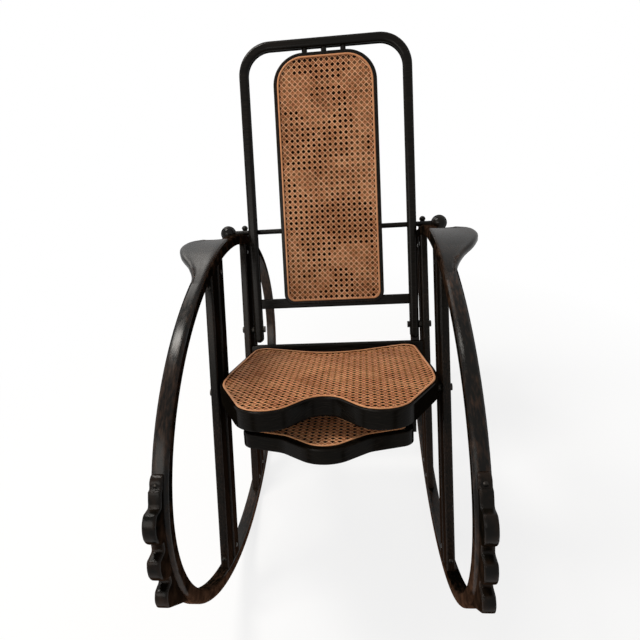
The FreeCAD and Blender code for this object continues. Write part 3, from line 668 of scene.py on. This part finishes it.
def add_panels():
    """The three caned panels, and the back panel's rear layer of cane."""
    cane = cane_material("cane_strands", CANE_STOPS)
    seat_cane = cane_material("seat_cane_strands", SEAT_CANE_STOPS)
    strip = cane_material("cane_edge_strip", STRIP_STOPS)
    # Painted shade behind the cane: a dark sheet for seat and footrest, a patchier one for the back
    dark = shade_sheet_material("seat_painted_shade_sheet", SEAT_SHADE_SHEET_LIGHT)
    patchy = shade_sheet_material("back_painted_shade_sheet", BACK_SHADE_SHEET_LIGHT)
    seat = STAND @ Matrix.Translation((0, 0, SEAT_Z)) @ Matrix.Rotation(SEAT_RISE, 4, "X")
    add_panel(
        "seat", mirrored(SEAT_CORNERS), "frame", seat,
        SEAT_EDGE, SEAT_RIM_WIDE, CANE_PITCH, (seat_cane, strip, dark))
    add_panel(
        "footrest", mirrored(FOOT_CORNERS), "footrest", seat @ Matrix.Translation((0, 0, FOOT_TOP)),
        FOOT_EDGE, FOOT_RIM_WIDE, CANE_PITCH, (cane, strip, dark))
    leaning = STAND @ Matrix.Translation((0, PIVOT_Y, 0)) @ Matrix.Rotation(BACK_FORWARD, 4, "X")
    upright = Matrix.Rotation(math.radians(90), 4, "X")
    panel = leaning @ Matrix.Translation((0, PANEL_FACE_Y, 0)) @ upright
    corners = mirrored(PANEL_CORNERS)
    add_panel(
        "panel", corners, "backrest", panel,
        PANEL_EDGE, PANEL_RIM, PANEL_PITCH, (cane, strip, patchy))
    border = outline(corners, PANEL_RIM - REAR_WEAVE_LAP)
    rear = weave("panel_rear_weave", border, REAR_WEAVE_SUNK - PANEL_THICK, panel, PANEL_PITCH)
    dress(rear, cane)
    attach(rear, "backrest")


def add_arms():
    """The two arm paddles, with a lacquer that keeps its gloss at a flat angle."""
    material = lacquer("lacquer_arm", grain=(18, 4, 4), wear_and_bounce=0.3, round_edge=0.007, fade=(0.7, 1.0))
    for name, side in (("right", 1), ("left", -1)):
        paddle = arm("arm_paddle_" + name, side)
        dress(paddle, material)
        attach(paddle, "frame")
        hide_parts("arm_" + name)


def soften(item):
    """Rounds a solid's edges for the looks, with its mesh kept."""
    blocks = item.modifiers.new("even_mesh", "REMESH")
    blocks.mode = "VOXEL"
    blocks.voxel_size = SOFT_VOXEL
    blocks.use_smooth_shade = True
    smooth = item.modifiers.new("soft_edges", "SMOOTH")
    smooth.iterations = SOFT_ROUNDS


def paint_solids():
    """Lacquer and metal on the solids that stay, by the start of their names."""
    upright = lacquer("lacquer_slats", grain=(30, 30, 1.2), wear_and_bounce=0.5, turn=(LEAN, 0, 0))
    across = lacquer("lacquer_rails", grain=(1.2, 30, 30), wear_and_bounce=0.1)
    bent = lacquer(
        "lacquer_bent", grain=(18, 4, 4), wear_and_bounce=1.4, gloss=0.16, round_edge=0.007, shine=0.12)
    seat = lacquer("lacquer_seat", grain=(4, 4, 30), wear_and_bounce=0.05, shine=0.05)
    turned = lacquer(
        "lacquer_turned", grain=(6, 6, 6), wear_and_bounce=0.15, gloss=0.12, round_edge=0.005, shine=0.12)
    carved = lacquer("lacquer_carved", grain=(3, 3, 3), wear_and_bounce=0.8, gloss=0.12, round_edge=0.005)
    steel = metal_material()
    families = {
        "hoop_": bent, "front_bracket_": carved, "front_slat_": upright, "rear_slat_": upright,
        "back_frame": across, "back_rail": across, "back_spindles": turned, "panel_frame": upright,
        "seat_frame": seat, "seat_rear_rail": across, "footrest_frame": seat,
        "footrest_runner_": across, "support_rod": across, "rod_ball_": turned,
        "recline_knobs": turned, "pivot_": steel, "seat_bolts": steel, "slat_screws": steel,
        "bracket_screws": steel}
    for name, item in frame["nodes"].items():
        for start, material in families.items():
            if name.startswith(start):
                item.data.materials.clear()
                item.data.materials.append(material)
        if name.startswith("front_bracket_"):
            soften(item)


def add_camera():
    """Camera at the photo's angle."""
    turn = Matrix.Rotation(CAMERA_YAW, 4, "Z") @ Matrix.Rotation(CAMERA_PITCH, 4, "X")
    turn = turn @ Matrix.Rotation(CAMERA_ROLL, 4, "Y") @ Matrix.Rotation(math.radians(90), 4, "X")
    data = bpy.data.cameras.new("camera")
    data.lens = CAMERA_LENS
    data.sensor_width = SENSOR
    camera = bpy.data.objects.new("camera", data)
    camera.matrix_world = STAND @ Matrix.Translation(CAMERA_PLACE) @ turn
    bpy.context.scene.collection.objects.link(camera)
    bpy.context.scene.camera = camera


def add_lamp(name, place, target, size, power):
    """Soft square lamp that faces a point."""
    data = bpy.data.lights.new(name, "AREA")
    data.shape = "RECTANGLE"
    data.size, data.size_y = size
    data.energy = power
    data.color = LAMP_COLOUR
    lamp = bpy.data.objects.new(name, data)
    away = Vector(target) - Vector(place)
    lamp.location = place
    lamp.rotation_euler = away.to_track_quat("-Z", "Y").to_euler()
    bpy.context.scene.collection.objects.link(lamp)


def background_rays(nodes, links):
    """1 for rays that look at the background itself, straight, mirrored or through glass."""
    rays = nodes.new("ShaderNodeLightPath")
    seen = rays.outputs["Is Camera Ray"]
    for kind in ("Is Glossy Ray", "Is Transmission Ray"):
        seen = math_node(nodes, links, "MAXIMUM", seen, rays.outputs[kind])
    return seen


def mix_shaders(nodes, links, share, first, second, output):
    """Puts a mix of two shaders on an output."""
    mix = nodes.new("ShaderNodeMixShader")
    links.new(share, mix.inputs["Fac"])
    links.new(first, mix.inputs[1])
    links.new(second, mix.inputs[2])
    links.new(mix.outputs["Shader"], nodes[output].inputs["Surface"])


def add_floor():
    """Pale floor that takes the shadow near the chair and is white farther out."""
    signs = ((-1, -1), (1, -1), (1, 1), (-1, 1))
    corners = [(FLOOR_HALF * x, FLOOR_HALF * y, 0) for x, y in signs]
    floor = build("floor", corners, [(0, 1, 2, 3)], Matrix.Translation((0, 0, -FLOOR_DROP)))
    material, nodes, links, shader = node_tree("pale_floor")
    shader.inputs["Base Color"].default_value = FLOOR_GREY
    even_gloss(shader, rough=0.8, specular=0.1)
    distance = nodes.new("ShaderNodeVectorMath")
    distance.operation = "LENGTH"
    links.new(object_space(nodes, links), distance.inputs[0])
    far = map_range(
        nodes, links, distance.outputs["Value"], SHADOW_NEAR, SHADOW_FAR, WHITE_SHARE_NEAR, 1.0)
    share = math_node(nodes, links, "MULTIPLY", far, background_rays(nodes, links))
    white = nodes.new("ShaderNodeEmission").outputs["Emission"]
    mix_shaders(nodes, links, share, shader.outputs["BSDF"], white, "Material Output")
    floor.data.materials.append(material)


def add_world():
    """Even light all round, with white where the background is looked at."""
    world = bpy.data.worlds.new("studio")
    bpy.context.scene.world = world
    world.use_nodes = True
    nodes, links = world.node_tree.nodes, world.node_tree.links
    light = nodes["Background"]
    light.inputs["Color"].default_value = WORLD_GREY
    white = nodes.new("ShaderNodeBackground")
    white.inputs["Color"].default_value = (1, 1, 1, 1)
    seen = background_rays(nodes, links)
    plain, bright = light.outputs["Background"], white.outputs["Background"]
    mix_shaders(nodes, links, seen, plain, bright, "World Output")


def add_studio():
    """Pale floor, white surroundings and soft lamps."""
    add_floor()
    add_world()
    add_lamp("key_lamp", place=(-1.1, 0.35, 2.9), target=(0, -0.1, 0.6), size=(0.4, 0.9), power=48)
    add_lamp("front_lamp", place=(-1.2, -2.2, 1.9), target=(0, 0, 0.6), size=(1.6, 1.2), power=30)
    add_lamp("rear_lamp", place=(-1.2, 1.65, 2.05), target=(-0.3, 0, 0.7), size=(0.9, 1.2), power=14)


add_panels()
paint_solids()
add_arms()
add_camera()
add_studio()
bpy.context.scene.view_settings.view_transform = "Standard"
